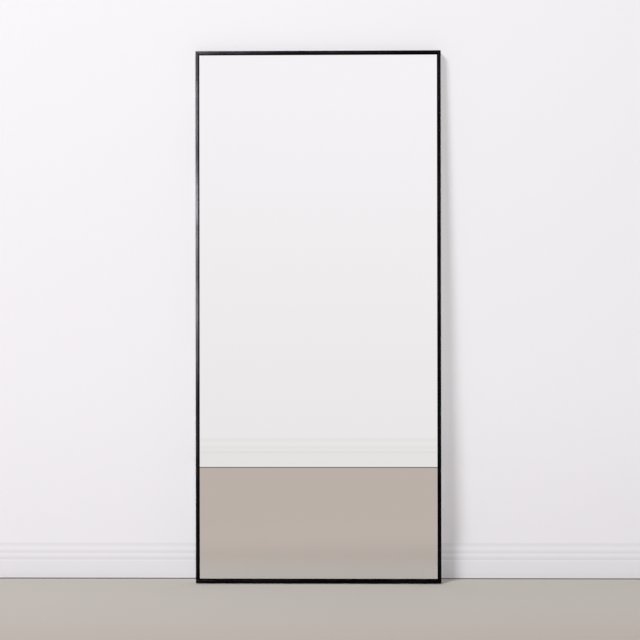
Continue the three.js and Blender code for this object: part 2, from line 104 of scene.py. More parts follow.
def amount_of(name, description, default, low, high, unit="NONE"):
    """A number on a panel. The mirror's own sizes are in millimetres and name no unit."""
    return FloatProperty(name=name, description=description, default=default, min=low, max=high,
                         unit=unit)


def colour_of(name, description, default):
    """A colour on a panel."""
    return FloatVectorProperty(name=name, description=description, default=default, size=3,
                               min=0.0, max=1.0, subtype="COLOR")


class MirrorSizes(bpy.types.PropertyGroup):
    """Sizes of the details that finish the mirror's pieces, in millimetres."""
    rail_edge: amount_of("Rail edge", "Radius that eases the rails' edges", 0.18, 0.05, 0.35)
    glass_arris: amount_of("Glass arris", "Width ground off the pane's edges", 0.5, 0.1, 1.0)
    steel_edge: amount_of("Steel edge", "Radius on stamped steel and sawn aluminium", 0.2, 0.05, 0.4)
    rubber_edge: amount_of("Rubber edge", "Radius on the moulded feet and bumpers", 0.5, 0.1, 0.8)
    tread_depth: amount_of("Tread depth", "Depth of the grooves in the feet and bumpers", 0.7, 0.2, 1.0)
    thread_pitch: amount_of("Thread pitch", "From one thread to the next on the screws", 0.7, 0.5, 1.0)
    thread_depth: amount_of("Thread depth", "Depth of the screws' threads", 0.32, 0.1, 0.5)
    clip_corner: amount_of("Clip corner", "Radius of the spring clips' corners", 2.2, 0.5, 3.5)
    strap_corner: amount_of("Strap corner", "Radius of the hanger straps' lower corners", 3.0, 1.0, 5.0)


class MirrorColours(bpy.types.PropertyGroup):
    """Main colours of the mirror's finishes."""
    frame_black: colour_of("Frame", "Satin black of the rails", (0.0014, 0.0014, 0.0015))
    silver: colour_of("Silvering", "Tint of the mirror's reflection", (0.91, 0.912, 0.909))
    glass_edge: colour_of("Glass edge", "Green of the pane's ground edges", (0.045, 0.12, 0.095))
    board: colour_of("Back board", "Brown of the hardboard", (0.225, 0.122, 0.064))
    brace: colour_of("Braces", "Mill aluminium", (0.456, 0.462, 0.47))
    zinc: colour_of("Zinc", "Zinc plate on the steel hardware", (0.40, 0.415, 0.405))
    spring: colour_of("Springs", "Blued spring steel", (0.105, 0.117, 0.138))
    rubber: colour_of("Rubber", "Black rubber of the feet, bumpers and gaskets", (0.012, 0.012, 0.012))


class MirrorStage(bpy.types.PropertyGroup):
    """The room that the mirror stands in, its lamps and the camera."""
    floor: colour_of("Floor", "Pale plain floor", (0.508, 0.471, 0.439))
    wall: colour_of("Wall", "White wall that the mirror leans on", (0.89, 0.875, 0.92))
    key_power: amount_of("Key lamp", "Soft lamp high on the left", 1235.0, 0.0, 10000.0, "POWER")
    front_power: amount_of("Front lamp", "Soft lamp above the camera", 160.0, 0.0, 10000.0, "POWER")
    sheen_power: amount_of("Sheen lamp", "Tall lamp that glosses only the rails", 1850.0, 0.0, 10000.0,
                           "POWER")
    room_light: amount_of("Room light", "Strength of the light from all round", 0.78, 0.0, 2.0)
    camera_distance: amount_of("Camera distance", "From the mirror to the camera", 5.5, 2.0, 12.0,
                               "LENGTH")
    camera_height: amount_of("Camera height", "Of the camera above the floor", 1.081, 0.2, 3.0,
                             "LENGTH")


# ---------------------------------------------------------------- material nodes

TOP_LEVEL = 1.2  # the highest level of a moulding's painted light and shade; its ramp holds shares of it
COLOUR_A, COLOUR_B, MIXED_COLOUR = 6, 7, 2  # the Mix node's sockets for colours


class Wire:
    """One output of a node. Arithmetic between wires and numbers adds Math nodes."""

    def __init__(self, finish, socket):
        self.finish = finish
        self.socket = socket

    def maths(self, operation, first, second):
        return self.finish.node("Math", {"operation": operation}, {0: first, 1: second})

    def __add__(self, other):
        return self.maths("ADD", self, other)

    def __radd__(self, other):
        return self.maths("ADD", other, self)

    def __sub__(self, other):
        return self.maths("SUBTRACT", self, other)

    def __rsub__(self, other):
        return self.maths("SUBTRACT", other, self)

    def __mul__(self, other):
        return self.maths("MULTIPLY", self, other)

    def __rmul__(self, other):
        return self.maths("MULTIPLY", other, self)


class Finish:
    """A node tree, with one method that adds a node and a few short names for the common ones."""

    def __init__(self, name, tree=None):
        if tree is None:
            self.material = bpy.data.materials.new(name)
            self.material.use_nodes = True
            tree = self.material.node_tree
        self.tree = tree
        tree.nodes.clear()

    def node(self, kind, settings=None, sockets=None, output=0):
        """Adds a shader node of a kind: its settings are set first, then its sockets' values or links."""
        made = self.tree.nodes.new("ShaderNode" + kind)
        for name, value in (settings or {}).items():
            if name == "stops":
                self.set_stops(made.color_ramp, value)
            else:
                setattr(made, name, value)
        for name, value in (sockets or {}).items():
            if isinstance(value, Wire):
                self.tree.links.new(value.socket, made.inputs[name])
            else:
                made.inputs[name].default_value = value
        return Wire(self, made.outputs[output]) if len(made.outputs) else made

    @staticmethod
    def set_stops(ramp, stops):
        while len(ramp.elements) < len(stops):
            ramp.elements.new(1.0)
        for element, (place, level) in zip(ramp.elements, stops):
            element.position = place
            element.color = (level, level, level, 1.0)

    def places(self):
        """Places in the room, in metres."""
        return self.node("TexCoord", output="Object")

    def height(self):
        """Height above the floor, in metres."""
        return self.part_of(self.places(), "Z")

    def part_of(self, vector, axis):
        """One part of a vector, by its axis."""
        return self.node("SeparateXYZ", {}, {0: vector}, output=axis)

    def moulded(self, colour, outline):
        """Painted light and shade of a moulding on a flat board: the board's colour, scaled at each of its
        heights, in millimetres, as the moulding would catch light.
        """
        tall = outline[-1][0] * MM
        ramp = self.node("ValToRGB", {
            "stops": [(height * MM / tall, level / TOP_LEVEL) for height, level in outline]},
            {0: self.height() * (1 / tall)})
        brightest = tuple(part * TOP_LEVEL for part in colour[:3]) + (1.0,)
        return self.node("Mix", {"data_type": "RGBA", "blend_type": "MULTIPLY"},
                         {0: 1.0, COLOUR_A: ramp, COLOUR_B: brightest}, output=MIXED_COLOUR)

    def upright(self, stretch=(1.0, 1.0, 1.0)):
        """Places in the upright mirror, in metres, with a pattern drawn out by stretch along each axis."""
        return self.node("Mapping", {"vector_type": "TEXTURE"}, {
            "Vector": self.places(),
            "Location": (0, -STAND_BACK * MM, LIFT * MM),
            "Rotation": (-LEAN, 0, 0),
            "Scale": stretch,
        })

    def noise(self, scale, stretch=(1.0, 1.0, 1.0), detail=3.0, roughness=0.5, distortion=0.0):
        return self.node("TexNoise", {}, {
            "Vector": self.upright(stretch), "Scale": scale, "Detail": detail, "Roughness": roughness,
            "Distortion": distortion})

    def cells(self, scale):
        return self.node("TexVoronoi", {}, {"Vector": self.upright(), "Scale": scale})

    def bands(self, scale, axis):
        return self.node("TexWave", {"bands_direction": axis},
                         {"Vector": self.upright(), "Scale": scale, "Distortion": 0.4}, output="Fac")

    def sharpen(self, value, low, high):
        """0 below low and 1 above high, with a soft step between."""
        return self.node("MapRange", {"interpolation_type": "SMOOTHSTEP"},
                         {"Value": value, "From Min": low, "From Max": high})

    def mix(self, first, second, mask):
        """The first colour where the mask is 0 and the second where it is 1."""
        return self.node("Mix", {"data_type": "RGBA"}, {0: mask, COLOUR_A: first, COLOUR_B: second},
                         output=MIXED_COLOUR)

    def vary(self, colour, low, high, mask):
        """A colour from a panel, at the low level where the mask is 0 and the high one where it is 1."""
        return self.mix(shade(colour, low), shade(colour, high), mask)

    def bump(self, height, strength, distance):
        return self.node("Bump", {}, {
            "Height": height, "Strength": strength, "Distance": distance})

    def painted(self, name):
        """A value that was written on the piece's faces."""
        return self.node("Attribute", {"attribute_name": name}, output="Fac")

    def edge(self):
        """1 on the narrow faces that ease a piece's corners."""
        return self.painted("edge")

    def diffuse(self, colour):
        return self.node("BsdfDiffuse", {}, {"Color": colour})

    def glow(self, colour):
        return self.node("Emission", {}, {"Color": colour})

    def blend(self, mask, first, second):
        """The first shader where the mask is 0 and the second where it is 1."""
        return self.node("MixShader", {}, {0: mask, 1: first, 2: second})

    def shader(self, **sockets):
        """A Principled shader; a socket's name is written with _ for a space."""
        names = {name.replace("_", " "): value for name, value in sockets.items()}
        if "Specular Level" in names:
            names["Specular IOR Level"] = names.pop("Specular Level")
        return self.node("BsdfPrincipled", {}, names)

    def finished(self, shader):
        self.node("OutputMaterial", {}, {"Surface": shader})
        return self.material


def shade(colour, level=1.0):
    """A colour from a panel, at a level, with its alpha."""
    return tuple(min(1.0, part * level) for part in colour) + (1.0,)


# ---------------------------------------------------------------- finishes

def black_aluminium(f, colours, stretch):
    """Satin black anodised aluminium. Its drawing lines run along the rail, and its edges are rubbed."""
    lines = f.noise(1300, stretch, detail=4, roughness=0.65)
    mottle = f.noise(5.2, detail=2.5, distortion=0.3)
    peel = f.noise(1500, detail=2)
    specks = f.sharpen(f.noise(420, detail=1), 0.7, 0.76)
    rubbed = f.sharpen(f.noise(34, detail=5), 0.5, 0.72) * f.edge()
    shine = f.painted("shine")
    patches = f.sharpen(mottle, 0.32, 0.68)
    tone = f.vary(colours.frame_black, 0.75, 1.35, patches * 0.7 + lines * 0.3)
    dusted = f.mix(tone, shade(colours.frame_black, 8.0), specks * 0.35)
    return f.shader(
        Base_Color=f.mix(dusted, (0.03, 0.03, 0.031, 1), rubbed * 0.7),
        Roughness=0.6 + lines * 0.1 + specks * 0.1,
        Specular_Level=0.0,
        Coat_Weight=shine * (0.012 + patches * 0.03 + lines * 0.01 - specks * 0.01),
        Coat_Roughness=0.22,
        Normal=f.bump(lines * 0.7 + peel * 0.3, 0.2, 0.00004),
    )


def silvered_glass(f, colours):
    """Silvered pane with hardly visible wiping marks, and ground green edges."""
    wipes = f.noise(3.1, (1, 1, 2.4), detail=5, roughness=0.62, distortion=1.4)
    marks = f.sharpen(wipes, 0.52, 0.8)
    silver = f.shader(
        Base_Color=f.vary(colours.silver, 1.0, 0.985, marks),
        Metallic=1.0,
        Roughness=0.001 + marks * 0.004,
    )
    grind = f.noise(900, detail=4)
    ground = f.shader(
        Base_Color=f.vary(colours.glass_edge, 0.7, 1.5, grind),
        Roughness=0.28 + grind * 0.3,
        Specular_Level=0.5,
        Normal=f.bump(grind, 0.3, 0.0001),
    )
    return f.blend(f.edge(), silver, ground)


def hardboard(f, colours):
    """Brown hardboard, screen side out: a fine woven imprint over pressed fibres."""
    clouds = f.noise(3.4, detail=4, roughness=0.6, distortion=0.5)
    fibres = f.noise(240, (1, 1, 3), detail=6, roughness=0.7, distortion=1.0)
    flecks = f.sharpen(f.noise(160, (1, 1, 2), detail=3, distortion=2.0), 0.62, 0.72)
    pale = f.sharpen(f.noise(75, (2.5, 1, 1), detail=4, distortion=1.6), 0.6, 0.75)
    weave = f.bands(190, "X") * f.bands(190, "Z")
    tone = f.vary(colours.board, 0.78, 1.28, clouds * 0.5 + fibres * 0.5)
    tone = f.mix(tone, shade(colours.board, 0.45), flecks * 0.55)
    tone = f.mix(tone, shade(colours.board, 1.7), pale * 0.22)
    return f.shader(
        Base_Color=f.mix(tone, shade(colours.board, 0.6), (1 - weave) * 0.25),
        Roughness=0.62 + fibres * 0.22,
        Specular_Level=0.3,
        Normal=f.bump(weave * 0.6 + fibres * 0.4, 0.5, 0.0003),
    )


def black_rubber(f, colours):
    """Moulded black rubber with a dull bloom and a little dust."""
    grain = f.noise(1900, detail=3)
    bloom = f.noise(45, detail=5, roughness=0.65)
    dust = f.sharpen(f.noise(650, detail=2), 0.6, 0.74)
    tone = f.vary(colours.rubber, 0.8, 1.9, bloom)
    return f.shader(
        Base_Color=f.mix(tone, (0.10, 0.095, 0.088, 1), dust * 0.3),
        Roughness=0.66 + bloom * 0.22,
        Specular_Level=0.25,
        Normal=f.bump(grain, 0.35, 0.00008),
    )


def mill_aluminium(f, colours):
    """Mill aluminium bar, brushed along its length, with a few handling marks."""
    brush = f.noise(1500, (90, 1, 1), detail=4, roughness=0.7)
    broad = f.noise(60, (14, 1, 1), detail=3)
    hands = f.sharpen(f.noise(16, detail=5, distortion=0.8), 0.5, 0.75)
    scratch = f.sharpen(f.noise(420, (60, 1, 1.6), detail=1), 0.71, 0.75)
    tone = f.vary(colours.brace, 0.72, 1.3, brush * 0.6 + broad * 0.4)
    tone = f.mix(tone, shade(colours.brace, 0.55), hands * 0.3)
    bright = f.mix(tone, shade(colours.brace, 1.7), scratch * 0.6)
    return f.shader(
        Base_Color=f.mix(bright, shade(colours.brace, 1.5), f.edge() * 0.6),
        Metallic=1.0,
        Roughness=0.27 + brush * 0.16 + hands * 0.14,
        Normal=f.bump(brush, 0.28, 0.00006),
    )


def plated_steel(f, colour, tint, roughness):
    """Bright plated or blued steel: cloudy plating, a faint tint, fine grain and rubbed edges."""
    clouds = f.noise(130, detail=4, roughness=0.6, distortion=0.6)
    grain = f.noise(2600, detail=2)
    stain = f.sharpen(f.noise(75, detail=3, distortion=1.2), 0.48, 0.72)
    tone = f.vary(colour, 0.74, 1.22, clouds * 0.8 + grain * 0.2)
    tone = f.mix(tone, tint, stain * 0.4)
    return f.shader(
        Base_Color=f.mix(tone, shade(colour, 1.6), f.edge() * 0.5),
        Metallic=1.0,
        Roughness=roughness + clouds * 0.16 + grain * 0.06,
        Normal=f.bump(grain * 0.6 + clouds * 0.4, 0.18, 0.00005),
    )


def dark_steel(f, colours):
    """Blackened steel of the set screws, oily and uneven."""
    oil = f.noise(420, detail=4, distortion=0.8)
    grain = f.noise(3000, detail=2)
    return f.shader(
        Base_Color=f.mix((0.016, 0.016, 0.018, 1), (0.045, 0.043, 0.042, 1), oil),
        Metallic=0.85,
        Roughness=0.3 + oil * 0.22 + grain * 0.06,
        Normal=f.bump(grain, 0.25, 0.00004),
    )


def grey_film(f, colours):
    """Grey safety film with fine weave lines and small trapped bubbles."""
    threads = f.bands(110, "X") * 0.5 + f.bands(110, "Z") * 0.5
    clouds = f.noise(9, detail=4)
    bubbles = 1 - f.sharpen(f.cells(28), 0.04, 0.1)
    return f.shader(
        Base_Color=f.mix((0.18, 0.19, 0.2, 1), (0.25, 0.26, 0.27, 1), clouds * 0.7 + threads * 0.3),
        Roughness=0.46 + clouds * 0.2,
        Normal=f.bump(threads * 0.4 + bubbles, 0.25, 0.0002),
    )


def white_foam(f, colours):
    """White closed-cell foam sheet."""
    cells = f.cells(900)
    clouds = f.noise(20, detail=4)
    return f.shader(
        Base_Color=f.mix((0.66, 0.66, 0.63, 1), (0.8, 0.8, 0.78, 1), cells * 0.6 + clouds * 0.4),
        Roughness=0.88 + clouds * 0.1,
        Normal=f.bump(cells, 0.4, 0.0003),
    )


FINISHES = {
    "black_aluminium_upright": lambda f, colours: black_aluminium(f, colours, (1, 1, 70)),
    "black_aluminium_level": lambda f, colours: black_aluminium(f, colours, (70, 1, 1)),
    "silvered_glass": silvered_glass,
    "hardboard": hardboard,
    "black_rubber": black_rubber,
    "mill_aluminium": mill_aluminium,
    "zinc_steel": lambda f, colours: plated_steel(f, colours.zinc, (0.42, 0.395, 0.30, 1), 0.22),
    "spring_steel": lambda f, colours: plated_steel(f, colours.spring, (0.09, 0.085, 0.13, 1), 0.2),
    "dark_steel": dark_steel,
    "grey_film": grey_film,
    "white_foam": white_foam,
}
made_finishes = {}


def finish_named(name):
    """A finish's material, made the first time that a piece asks for it."""
    if name not in made_finishes:
        f = Finish(name)
        made_finishes[name] = f.finished(FINISHES[name](f, bpy.context.scene.mirror_colours))
    return made_finishes[name]


# ---------------------------------------------------------------- working on meshes

def in_metres(sizes):
    """Millimetres made metres."""
    return [size * MM for size in sizes]


def pick_none():
    bpy.ops.object.select_all(action="DESELECT")


def pick_only(piece):
    """Deselects everything and picks one piece."""
    pick_none()
    piece.select_set(True)
    bpy.context.view_layer.objects.active = piece


def start_edit(piece):
    pick_only(piece)
    bpy.ops.object.mode_set(mode="EDIT")


def end_edit():
    bpy.ops.object.mode_set(mode="OBJECT")


def select_all():
    """In edit mode, selects the whole mesh."""
    bpy.ops.mesh.select_all(action="SELECT")


def merge_doubles(within=MERGE_WITHIN):
    """In edit mode, merges corners that are nearer than a gap in millimetres."""
    select_all()
    bpy.ops.mesh.remove_doubles(threshold=within * MM)


def face_outwards():
    """Turns every face outwards and leaves edit mode."""
    select_all()
    bpy.ops.mesh.normals_make_consistent(inside=False)
    end_edit()


def extrude(x, y, z):
    """In edit mode, draws what is selected out by a step in millimetres."""
    bpy.ops.mesh.extrude_region_move(TRANSFORM_OT_translate={"value": in_metres((x, y, z))})


def keep_place():
    """Moves a new or placed object's place, turn and size into its mesh."""
    bpy.ops.object.transform_apply(location=True, rotation=True, scale=True)


def select_where(piece, kind, test):
    """In edit mode, selects the corners or the faces whose place passes a test."""
    bpy.ops.mesh.select_mode(type=kind)
    bpy.ops.mesh.select_all(action="DESELECT")
    shape = bmesh.from_edit_mesh(piece.data)
    if kind == "VERT":
        found = [corner for corner in shape.verts if test(corner.co)]
    else:
        found = [face for face in shape.faces if test(face.calc_center_median())]
    for part in found:
        part.select_set(True)
    shape.select_flush_mode()
    bmesh.update_edit_mesh(piece.data)
    if not found:
        raise RuntimeError(f"{piece.name}: nothing to select")


def add_modifier(piece, kind, **settings):
    """Adds a modifier and applies it at once."""
    pick_only(piece)
    modifier = piece.modifiers.new(kind.title(), kind)
    for name, value in settings.items():
        setattr(modifier, name, value)
    bpy.ops.object.modifier_apply(modifier=modifier.name)


def ease_edges(piece, radius, segments=2, angle=35):
    """Rounds the corners that turn by more than an angle, and closes slivers."""
    add_modifier(piece, "BEVEL", width=radius * MM, segments=segments, limit_method="ANGLE",
                 angle_limit=math.radians(angle), use_clamp_overlap=True)
    start_edit(piece)
    merge_doubles(SLIVER)
    bpy.ops.mesh.dissolve_degenerate(threshold=SLIVER * MM)
    end_edit()


def cut_with(piece, cutter):
    """Cuts a piece with a closed cutter, which is thrown away."""
    add_modifier(piece, "BOOLEAN", operation="DIFFERENCE", object=cutter, solver="EXACT")
    bpy.data.objects.remove(cutter)


def shade_smooth(piece, angle=SMOOTH_ANGLE):
    """Smooth shading over the eased edges that keeps the wide faces flat."""
    pick_only(piece)
    bpy.ops.object.shade_smooth_by_angle(angle=math.radians(angle))
    add_modifier(piece, "WEIGHTED_NORMAL", keep_sharp=True, weight=100)


def mark_edges(piece):
    """Writes the "edge" attribute: 1 on narrow faces that ease the corners, 0 on the flats."""
    worn = piece.data.attributes.new("edge", "FLOAT", "FACE")
    for face, mark in zip(piece.data.polygons, worn.data):
        mark.value = 0.0 if max(abs(part) for part in TURN_BACK @ face.normal) > FLAT else 1.0


def from_outside(place):
    """How far a place is from the upright frame's outside, and from its front, in millimetres."""
    x, y, z = (UPRIGHT @ place) / MM
    return min(HALF_WIDTH - abs(x), z, HEIGHT - z), y


def mark_shine(piece):
    """Writes the "shine" attribute: 1 on a rail's face, 0 on the matt walls round the pane, more behind."""
    shine = piece.data.attributes.new("shine", "FLOAT", "FACE")
    for face, mark in zip(piece.data.polygons, shine.data):
        gap, depth = from_outside(face.center)
        if depth < NEAR:
            mark.value = 1.0 if gap < FACE_STEP else LIP_SHINE
        elif gap < NEAR or depth > PIECE_FRONT:
            mark.value = SIDE_SHINE
        else:
            mark.value = 0.0


def copy_node(node):
    """A merged copy of a CAD node's mesh, with its flat faces made whole."""
    piece = bpy.data.objects.new("finished_" + node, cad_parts[node].data.copy())
    bpy.context.scene.collection.objects.link(piece)
    start_edit(piece)
    merge_doubles()
    bpy.ops.mesh.dissolve_limited(angle_limit=math.radians(COPLANAR))
    end_edit()
    return piece


def add_box(name, size, middle):
    """A plain box from its size and middle, in millimetres, to start a piece or a cutter."""
    pick_none()
    bpy.ops.mesh.primitive_cube_add(size=1, location=in_metres(middle), scale=in_metres(size))
    box = bpy.context.object
    box.name = name
    keep_place()
    return box


def add_rod(name, radius, length, sides, middle, turn=(0, 0, 0)):
    """A plain upright rod, in millimetres, given a turn, to start a cutter."""
    pick_none()
    bpy.ops.mesh.primitive_cylinder_add(vertices=sides, radius=radius * MM, depth=length * MM,
                                        location=in_metres(middle), rotation=turn)
    rod = bpy.context.object
    rod.name = name
    keep_place()
    return rod


def draw_line(name, points):
    """A line through points in millimetres, drawn from one to the next. It stays in edit mode."""
    pick_none()
    bpy.ops.mesh.primitive_plane_add(size=MM, location=(0, 0, 0))
    piece = bpy.context.object
    piece.name = name
    start_edit(piece)
    select_all()
    bpy.ops.mesh.merge(type="CENTER")
    bpy.ops.mesh.select_mode(type="VERT")
    select_all()
    places = [Vector(point) * MM for point in points]
    bpy.ops.transform.translate(value=places[0])
    for here, there in zip(places, places[1:]):
        bpy.ops.mesh.extrude_region_move(TRANSFORM_OT_translate={"value": (there - here)[:]})
    select_all()
    return piece


def turn_round(name, profile, sides):
    """A turned piece about Z, from (radius, height) points that start and end on the axis."""
    piece = draw_line(name, [(radius, 0, height) for radius, height in profile])
    bpy.ops.mesh.spin(steps=sides, angle=2 * math.pi, center=(0, 0, 0), axis=(0, 0, 1))
    merge_doubles()
    face_outwards()
    return piece


def apply_place(piece, place):
    """Moves a piece by a matrix and leaves the place in its mesh."""
    piece.matrix_world = place
    pick_only(piece)
    keep_place()


def hand_over(piece, node, finish, body="mirror"):
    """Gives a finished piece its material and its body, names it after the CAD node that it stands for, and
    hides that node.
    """
    piece.name = "finished_" + node
    piece.data.name = piece.name
    piece.data.materials.clear()
    piece.data.materials.append(finish_named(finish))
    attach(piece, body)
    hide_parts(node)


def add_copy(model, node, place, finish, body="mirror", smooth=SMOOTH_ANGLE):
    """A finished copy of a model, with its own mesh, moved by a matrix."""
    piece = model.copy()
    piece.data = model.data.copy()
    bpy.context.scene.collection.objects.link(piece)
    apply_place(piece, place)
    shade_smooth(piece, smooth)
    mark_edges(piece)
    hand_over(piece, node, finish, body=body)
    return piece


def place_copies(model, places, finish):
    """A copy of one upright model at each place; the model is then removed."""
    for node, place in places.items():
        add_copy(model, node, STANDING @ place, finish)
    bpy.data.objects.remove(model)


def at(x, y, z, turn=0.0, axis="Y"):
    """A place in the upright mirror, in millimetres, after a turn in degrees about an axis."""
    return Matrix.Translation(in_metres((x, y, z))) @ Matrix.Rotation(math.radians(turn), 4, axis)


def refine(node, radius, finish, segments=2, shape=None, cutters=()):
    """A CAD node's shape, shaped further, with eased edges, then with cuts whose edges are eased less."""
    piece = copy_node(node)
    if shape:
        shape(piece)
    ease_edges(piece, radius, segments)
    for cutter in cutters:
        cut_with(piece, cutter)
    if cutters:
        ease_edges(piece, CUT_EDGE)
    shade_smooth(piece)
    mark_edges(piece)
    hand_over(piece, node, finish)
    return piece


def cut_grooves(node, radius, size, middles):
    """A moulded rubber piece with grooves of one size cut where their middles are."""
    cutters = [add_box("groove", size, middle) for middle in middles]
    for cutter in cutters:
        apply_place(cutter, STANDING)
    refine(node, radius, "black_rubber", segments=3, cutters=cutters)


# ---------------------------------------------------------------- the pieces

class MIRROR_OT_rails(bpy.types.Operator):
    """Four black rails with tight mitres, eased edges, and a lip set back behind a fine step in the face"""
    bl_idname = "mirror.rails"
    bl_label = "Frame rails"

    step_slope = 0.2
    step_depth = 0.3
    mitre_reach = 14.0  # a rail's corners this near its end belong to the mitre
    mitre_close = 0.17
    skin = 0.01  # a face no deeper than this is the front face

    def shape_rail(self, rail):
        """Closes a rail's mitres up, and sets the inner part of its face back behind a fine step."""
        middle = UPRIGHT @ (sum((Vector(corner) for corner in rail.bound_box), Vector()) / 8) / MM
        upright = abs(middle.x) > HALF_WIDTH / 2
        along, reach = (2, HEIGHT / 2) if upright else (0, HALF_WIDTH)
        start_edit(rail)
        for end in (-1, 1):
            def at_mitre(place):
                return end * ((UPRIGHT @ place)[along] / MM - middle[along]) > reach - self.mitre_reach

            step = Vector((0, 0, 0))
            step[along] = end * self.mitre_close * MM
            select_where(rail, "VERT", at_mitre)
            bpy.ops.transform.translate(value=TURN @ step)
        for gap in (FACE_STEP, FACE_STEP + self.step_slope):
            if upright:
                line, across = (math.copysign(HALF_WIDTH - gap, middle.x), 0, 0), (1, 0, 0)
            else:
                line, across = (0, 0, gap if middle.z < HEIGHT / 2 else HEIGHT - gap), (0, 0, 1)
            select_where(rail, "FACE", lambda place: from_outside(place)[1] < self.skin)
            bpy.ops.mesh.bisect(plane_co=STANDING @ (Vector(line) * MM), plane_no=TURN @ Vector(across))

        def on_lip(place):
            gap, depth = from_outside(place)
            return depth < self.skin and gap > FACE_STEP + self.step_slope / 2

        select_where(rail, "VERT", on_lip)
        bpy.ops.transform.translate(value=TURN @ Vector((0, self.step_depth * MM, 0)))
        end_edit()

    def execute(self, context):
        radius = context.scene.mirror_sizes.rail_edge
        for side in FRAME_SIDES:
            way = "upright" if side in SIDES else "level"
            mark_shine(refine("rail_" + side, radius, "black_aluminium_" + way,
                              shape=self.shape_rail))
        return {"FINISHED"}


class MIRROR_OT_pane(bpy.types.Operator):
    """The silvered pane with ground edges, and the sheets behind it"""
    bl_idname = "mirror.pane"
    bl_label = "Mirror pane and its backing"

    def execute(self, context):
        pane = refine("mirror_glass", context.scene.mirror_sizes.glass_arris, "silvered_glass", segments=1)
        for face, mark in zip(pane.data.polygons, pane.data.attributes["edge"].data):
            mark.value = 0.0 if abs((TURN_BACK @ face.normal).y) > FLAT else 1.0
        sheets = [pane]
        for node, finish in (("safety_film", "grey_film"), ("foam_sheet", "white_foam"),
                             ("backing_board", "hardboard")):
            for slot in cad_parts[node].material_slots:
                slot.material = finish_named(finish)
            sheets.append(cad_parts[node])
        for sheet in sheets:
            sheet.visible_diffuse = False  # so that the floor in front is neither dimmed nor lit in a patch
        return {"FINISHED"}


class MIRROR_OT_gaskets(bpy.types.Operator):
    """Gasket strips in front of the pane and the blocks that it stands on"""
    bl_idname = "mirror.gaskets"
    bl_label = "Gaskets and setting blocks"

    def execute(self, context):
        for side in FRAME_SIDES:
            refine("gasket_" + side, GASKET_EDGE, "black_rubber")
        for side in SIDES:
            refine("setting_block_" + side, BLOCK_EDGE, "black_rubber")
        return {"FINISHED"}


class MIRROR_OT_clips(bpy.types.Operator):
    """Ten bowed spring clips with round corners"""
    bl_idname = "mirror.clips"
    bl_label = "Spring clips"

    length = 62.0
    width = 8.0
    steel = 0.5
    rise = 2.5
    steps = 20
    edge = 0.1

    def execute(self, context):
        line = []
        for step in range(self.steps + 1):
            along = (step / self.steps - 0.5) * self.length
            bow = self.rise * (1 - (2 * along / self.length) ** 2) + self.steel / 2
            line.append((-self.width / 2, bow, along))
        clip = draw_line("clip", line)
        extrude(self.width, 0, 0)
        tip = (self.length / 2 - NEAR) * MM
        select_where(clip, "VERT", lambda place: abs(place.z) > tip)
        bpy.ops.mesh.bevel(offset=context.scene.mirror_sizes.clip_corner * MM, segments=5,
                           affect="VERTICES")
        face_outwards()
        add_modifier(clip, "SOLIDIFY", thickness=self.steel * MM, offset=0.0)
        ease_edges(clip, self.edge, segments=1, angle=50)
        places = {}
        for side, sign in SIDES.items():
            for number, height in enumerate((CLIP_FROM_END, HEIGHT / 2, HEIGHT - CLIP_FROM_END)):
                places[f"spring_clip_{side}_{number + 1}"] = at(
                    sign * (HALF_WIDTH - CLIP_INSET), PIECE_FRONT, height)
            for end, height in (("bottom", CLIP_INSET), ("top", HEIGHT - CLIP_INSET)):
                places[f"spring_clip_{end}_{side}"] = at(sign * CLIP_X, PIECE_FRONT, height, 90)
        place_copies(clip, places, "spring_steel")
        return {"FINISHED"}


class MIRROR_OT_corner_keys(bpy.types.Operator):
    """Four zinc-plated corner keys"""
    bl_idname = "mirror.corner_keys"
    bl_label = "Corner keys"

    def execute(self, context):
        for corner in ("bottom_left", "top_left", "top_right", "bottom_right"):
            refine("corner_key_" + corner, context.scene.mirror_sizes.steel_edge, "zinc_steel")
        return {"FINISHED"}


def thread(radius, low, high):
    """Profile points of a thread from one height to another, cut into a shank of a radius."""
    sizes = bpy.context.scene.mirror_sizes
    pitch = sizes.thread_pitch
    turns = int((high - low) / pitch)
    points = [(radius - depth * sizes.thread_depth, low + turn * pitch + along * pitch)
              for turn in range(turns) for along, depth in THREAD_SHAPE]
    return points + [(radius, low + turns * pitch)]


class MIRROR_OT_set_screws(bpy.types.Operator):
    """Eight blackened set screws with hexagon sockets in the corner keys"""
    bl_idname = "mirror.set_screws"
    bl_label = "Set screws"

    radius = 2.0
    length = 4.8
    cup = ((0, 0.5), (1.1, 0.0), (1.45, 0.0))  # (radius, height) of its hollow point
    thread_start = 0.5
    thread_stop = 0.4  # from the socket's end
    shoulder = 0.35
    rim = 1.68
    sides = 28
    socket = 1.15
    socket_depth = 2.0
    edge = 0.05
    along_leg = 38.0

    def execute(self, context):
        profile = [*self.cup, *thread(self.radius, self.thread_start, self.length - self.thread_stop),
                   (self.radius, self.length - self.shoulder), (self.rim, self.length), (0, self.length)]
        screw = turn_round("set_screw", profile, self.sides)
        cut_with(screw, add_rod("socket", self.socket, 2 * self.socket_depth, sides=6,
                                middle=(0, 0, self.length)))
        ease_edges(screw, self.edge, segments=1, angle=60)
        places = {}
        middle = RAIL_FACE / 2
        for end, corner_z, up in (("bottom", 0.0, 1), ("top", HEIGHT, -1)):
            for side, sign in SIDES.items():
                for leg, x, z in (("side", middle, self.along_leg), ("end", self.along_leg, middle)):
                    places[f"corner_screw_{end}_{side}_{leg}"] = at(
                        sign * (HALF_WIDTH - x), CHANNEL_FLOOR + FIT_GAP, corner_z + up * z, -90, "X")
        place_copies(screw, places, "dark_steel")
        return {"FINISHED"}


